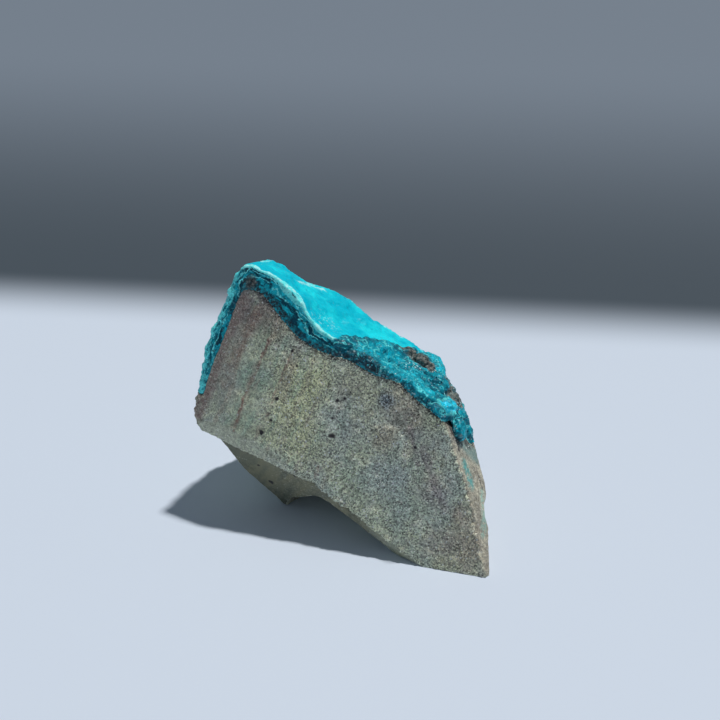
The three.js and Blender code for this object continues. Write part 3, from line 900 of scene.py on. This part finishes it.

    # The brown fringe of the crust's left end, then fine specks, and painted glints and sparkles.
    fringe = finish.ramp(finish.reading("rim") + finish.clouds(place, 4.0, 4.0) * 6.0, 3.9, 3.2)
    fringe = fringe * finish.ramp(across, -20.5, -23.0) * finish.ramp(behind, 5.0, 9.0)
    colour = finish.blend(fringe * 0.85, colour, finish.blend(gritty, UMBER, ROCK_BROWN))
    speck = finish.part(finish.grains(place, 0.3), "Red")
    colour = finish.shade(colour, 1 + (speck - 0.5) * (cut * 0.5 * (1 - pale) + broken * 0.4 + 0.1))
    # Painted glints: in the porous foot, at the sparkling spot and faintly all over.
    twinkle = finish.part(finish.grains(place, GRAIN), "Blue")
    colour = finish.blend(finish.ramp(twinkle, 0.91, 0.94) * foot * broken * 0.75, colour, PAINTED_GLITTER)
    sparkle = finish.near(ragged, PAINTED_SPARKLES, 1.0, 2.5) * finish.ramp(twinkle, 0.70, 0.76)
    colour = finish.blend(sparkle * 0.9, colour, PAINTED_GLITTER)
    glint = finish.ramp(twinkle, 0.988, 0.992)
    colour = finish.blend(glint * (0.1 + foot * broken * 0.8), colour, PAINTED_GLITTER)

    finish.set("Base Color", colour)
    finish.set("Roughness", finish.ramp(glint, 0.0, 1.0, 0.42, 0.15))
    finish.set("Specular IOR Level", 0.1)
    finish.set("Coat Weight", broken * (1 - crest) * 0.09 + cut * 0.06)
    finish.set("Coat Roughness", 0.2)
    relief = finish.clouds(place, 0.4, 3.0) * (0.5 + broken * 0.5) + speck * (cut + crest) * 0.5
    finish.set("Normal", finish.bump(relief, 0.12))
    return finish.material


crust.data.materials.clear()
crust.data.materials.append(crust_finish())
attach(crust, "root")
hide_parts("chrysocolla_crust")

# --------------------------------------------------------------------------------------- the druse
# Tiny glassy crystals that line the broken part of the crust and its porous foot. Each is a short
# six-sided point, grown at its own angle and sunk by half in the crust.

DRUSE_SEED = 11
CRYSTAL_SIDES = 6
POINT_LENGTH = 0.9
POINT_WIDTH = 0.25
# Crystals are scattered over their bed by this share of its radius, lean by about this slope, are
# sunk by this share of their own radius, vary in length by these factors, and keep off the rock.
TOSS = 0.5
LEAN = 0.35
SUNK = 0.4
LENGTHS = (0.7, 1.3)
OFF_THE_ROCK = 0.5 * MM
FULL_TURN = 6.28
UPWARD = 0.9

# Beds of crystals: centre and radius in mm, crystals in each, least and greatest radius in mm.
BEDS = [
    ((14.0, -1.0, 30.5), 2.6, 60, 0.10, 0.24),
    ((10.0, 0.5, 32.6), 4.0, 45, 0.08, 0.18),
    ((5.2, -5.0, 35.0), 2.4, 60, 0.08, 0.20),
    ((11.5, -6.5, 31.8), 3.0, 30, 0.08, 0.16),
    ((19.0, -3.0, 27.8), 3.0, 45, 0.08, 0.18),
    ((21.5, -9.5, 26.0), 3.0, 20, 0.08, 0.16),
]

bpy.ops.object.select_all(action="DESELECT")
bpy.ops.mesh.primitive_cylinder_add(vertices=CRYSTAL_SIDES, radius=1.0, depth=2.0, location=(0, 0, 0))
crystal = bpy.context.active_object
bpy.ops.object.mode_set(mode="EDIT")
bpy.ops.mesh.select_all(action="DESELECT")
bpy.ops.mesh.select_mode(type="FACE")
bpy.ops.object.mode_set(mode="OBJECT")
for face in crystal.data.polygons:
    face.select = face.normal.z > UPWARD
bpy.ops.object.mode_set(mode="EDIT")
bpy.ops.mesh.extrude_region_move(TRANSFORM_OT_translate={"value": (0, 0, POINT_LENGTH)})
bpy.ops.transform.resize(value=(POINT_WIDTH, POINT_WIDTH, 1.0), center_override=(0, 0, 0))
bpy.ops.object.mode_set(mode="OBJECT")

dice = random.Random(DRUSE_SEED)
host = tree_of(crust.data, crust.data.polygons)


def scattered(spread):
    """A random step with that spread each way."""
    return Vector((dice.gauss(0, spread), dice.gauss(0, spread), dice.gauss(0, spread)))


corners, faces = [], []
for centre, radius, count, smallest, largest in BEDS:
    for _ in range(count):
        toss = scattered(TOSS) * radius
        spot, normal, _, _ = host.find_nearest((Vector(centre) + toss) * MM)
        if rock_tree.find_nearest(spot)[3] < OFF_THE_ROCK:
            continue
        size = dice.uniform(smallest, largest) * MM
        turn = (normal + scattered(LEAN)).to_track_quat("Z", "Y").to_matrix().to_4x4()
        spin = Matrix.Rotation(dice.uniform(0, FULL_TURN), 4, "Z")
        grow = Matrix.Diagonal((size, size, size * dice.uniform(*LENGTHS), 1.0))
        stand = Matrix.Translation(spot - normal * size * SUNK) @ turn @ spin @ grow
        faces += [[len(corners) + index for index in face.vertices] for face in crystal.data.polygons]
        corners += [stand @ vertex.co for vertex in crystal.data.vertices]
bpy.data.objects.remove(crystal)
druse_mesh = bpy.data.meshes.new("crust_druse")
druse_mesh.from_pydata(corners, [], faces)
druse = bpy.data.objects.new("crust_druse", druse_mesh)
bpy.context.scene.collection.objects.link(druse)

ICE = (0.06, 0.72, 0.86)
SMOKE = (0.05, 0.22, 0.28)
SMOKY_BED = [(3.8, -4.4, 36.4), (7.0, -6.0, 33.6)]


def druse_finish():
    finish = Finish("druse")
    tone = finish.part(finish.grains(finish.place, 0.6), "Red")
    colour = finish.blend(finish.ramp(tone, 0.2, 0.8), DRUSY, ICE)
    smoky = finish.along(finish.place, SMOKY_BED, 1.2, 2.4)
    finish.set("Base Color", finish.blend(smoky * 0.7, colour, SMOKE))
    finish.set("Roughness", finish.ramp(tone, 0.0, 1.0, 0.08, 0.25))
    finish.set("Specular IOR Level", 0.3)
    return finish.material


druse.data.materials.append(druse_finish())
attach(druse, "root")

# --------------------------------------------------------------------------------- table and light
# A plain, pale table top with painted shade behind the piece. One soft lamp stands high on the
# right, and cool light from the room fills the shadows.

FLOOR_HALF = 12000 * MM
FLOOR_PALE = (0.69, 0.765, 0.88)
# Colours of the painted shade on the table, near and far.
FLOOR_SHADE_NEAR = (0.066, 0.086, 0.107)
FLOOR_SHADE_FAR = (0.200, 0.240, 0.295)
# The painted shade on the table, in mm behind the piece: where it begins and is whole, where it
# starts to lighten again and has done so, and how it slants.
SHADE_FROM, SHADE_WHOLE = 80.0, 112.0
SHADE_NEAR, SHADE_FAR = 110.0, 360.0
SHADE_SLANT = 0.12

bpy.ops.object.select_all(action="DESELECT")
bpy.ops.mesh.primitive_plane_add(size=2 * FLOOR_HALF, location=(0, 0, 0))
floor = bpy.context.active_object
floor.name = "floor"


def floor_finish():
    finish = Finish("pale_table")
    back = finish.axis("Y") + finish.axis("X") * SHADE_SLANT
    shade = finish.blend(finish.ramp(back, SHADE_NEAR, SHADE_FAR), FLOOR_SHADE_NEAR, FLOOR_SHADE_FAR)
    shaded = finish.ramp(back, SHADE_FROM, SHADE_WHOLE)
    finish.set("Base Color", finish.blend(shaded, FLOOR_PALE, shade))
    finish.set("Roughness", 0.6)
    finish.set("Specular IOR Level", 0.2)
    return finish.material


floor.data.materials.append(floor_finish())

TO_LAMP = Vector((0.285, 0.222, 1.0))
LAMP_STRENGTH = 2.5
LAMP_WIDTH = math.radians(4.0)
LAMP_WARM = (1.0, 0.985, 0.96)
ROOM_COOL = (0.72, 0.86, 1.0, 1.0)
ROOM_STRENGTH = 0.17
EYE = Vector((4.3, -236.1, 147.5)) * MM
LOOK = math.radians(64.0)
LENS = 70.0

lamp = bpy.data.objects.new("lamp", bpy.data.lights.new("lamp", "SUN"))
bpy.context.scene.collection.objects.link(lamp)
lamp.data.energy = LAMP_STRENGTH
lamp.data.angle = LAMP_WIDTH
lamp.data.color = LAMP_WARM
lamp.rotation_euler = (-TO_LAMP).to_track_quat("-Z", "Y").to_euler()

room = bpy.data.worlds.new("room")
bpy.context.scene.world = room
room.use_nodes = True
room.node_tree.nodes["Background"].inputs["Color"].default_value = ROOM_COOL
room.node_tree.nodes["Background"].inputs["Strength"].default_value = ROOM_STRENGTH
bpy.context.scene.view_settings.view_transform = "Standard"

camera = bpy.data.objects.new("camera", bpy.data.cameras.new("camera"))
bpy.context.scene.collection.objects.link(camera)
camera.location = EYE
camera.rotation_euler = (LOOK, 0.0, 0.0)
camera.data.lens = LENS
camera.data.sensor_width = 36.0
camera.data.clip_start = 10 * MM
bpy.context.scene.camera = camera
